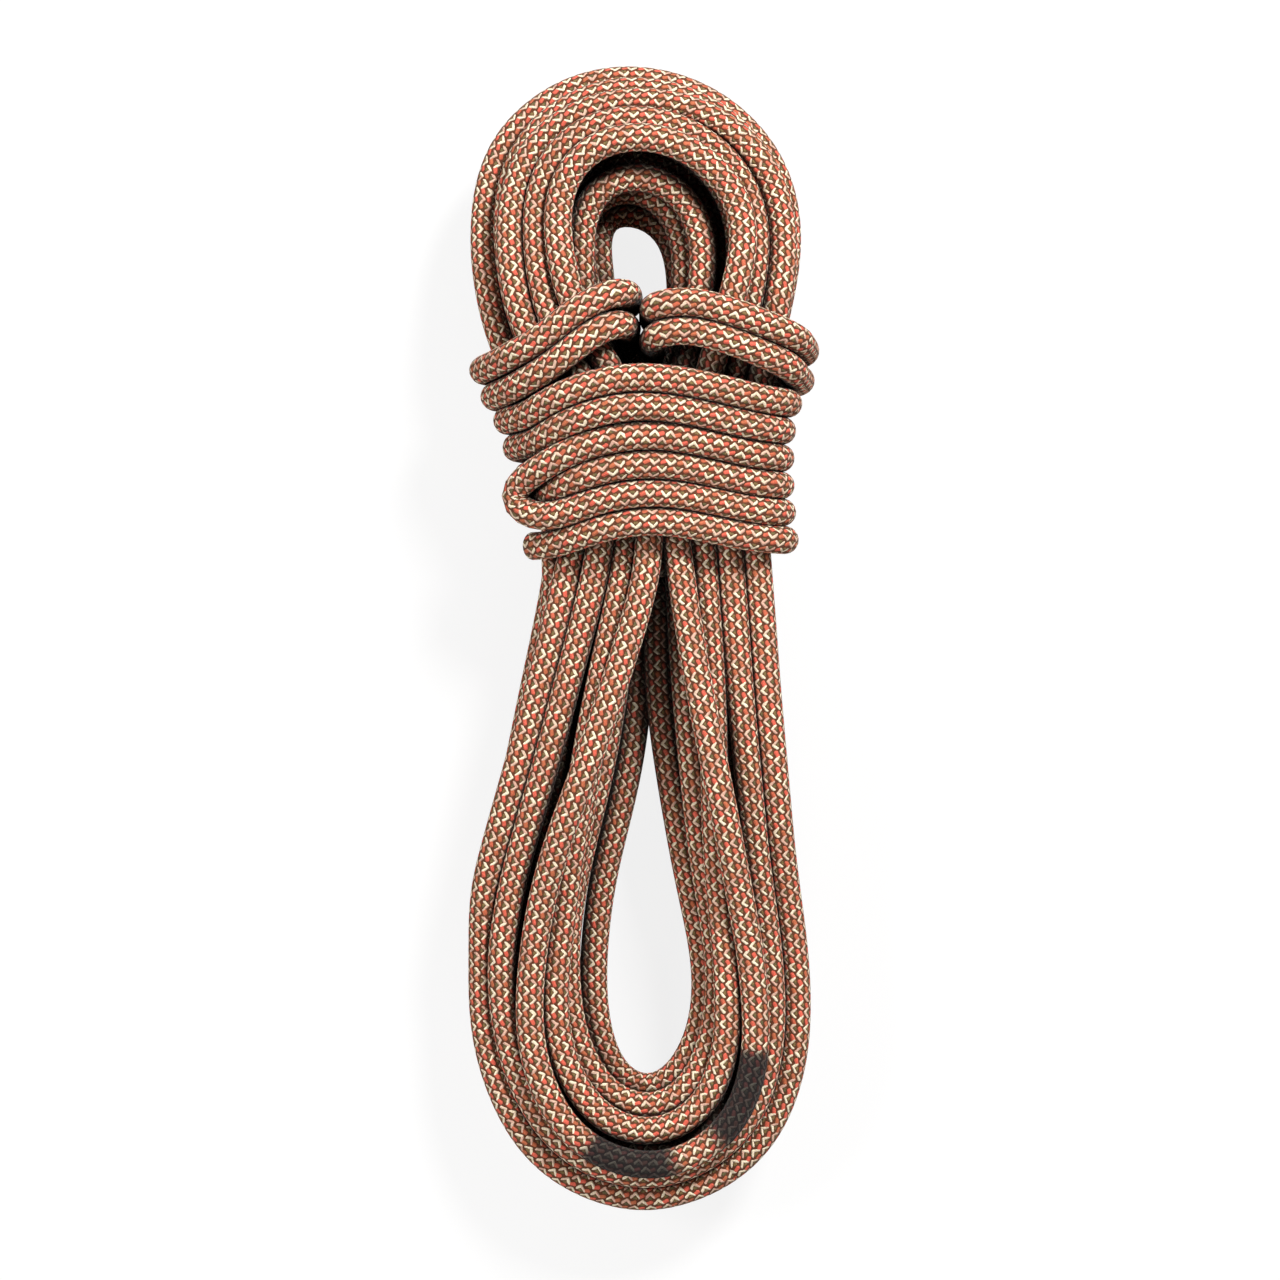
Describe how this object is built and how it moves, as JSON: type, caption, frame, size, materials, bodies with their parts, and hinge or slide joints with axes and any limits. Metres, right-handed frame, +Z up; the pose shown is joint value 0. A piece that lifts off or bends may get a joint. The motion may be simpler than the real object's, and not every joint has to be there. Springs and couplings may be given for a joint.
{
  "type": "climbing rope",
  "caption": "Dynamic climbing rope made up into a hank: long loops drawn in at the waist by turns of the rope and locked by a doubled bight through the eye.",
  "frame": {"origin": "On the surface the hank lies on, below the middle of its box", "axes": "+Z up off the surface, +Y from the big lower lobe to the eye, +X to the right as seen from above"},
  "size_m": [0.137, 0.4003, 0.0843],
  "materials": {
    "braided_sheath": "braided nylon, matt",
    "core_yarn": "twisted nylon yarn",
    "tracer_tape": "thin film tape",
    "fused_nylon": "melted and set",
    "plain_band": "plain, no marking",
    "clear_shrink": "clear shrink tubing"
  },
  "bodies": {
    "root": {"hank_loops": "braided_sheath", "waist_turns_a": "braided_sheath", "waist_turns_b": "braided_sheath", "locking_bight_a": "braided_sheath", "locking_bight_b": "braided_sheath", "tail_a": "braided_sheath", "tail_b": "braided_sheath", "end_sheath_a": "braided_sheath", "core_strands_a": "core_yarn", "tracer_tape_a": "tracer_tape", "fused_tip_a": "fused_nylon", "end_band_a": "plain_band", "shrink_sleeve_a": "clear_shrink", "end_sheath_b": "braided_sheath", "core_strands_b": "core_yarn", "tracer_tape_b": "tracer_tape", "fused_tip_b": "fused_nylon", "end_band_b": "plain_band", "shrink_sleeve_b": "clear_shrink"}
  },
  "joints": []
}
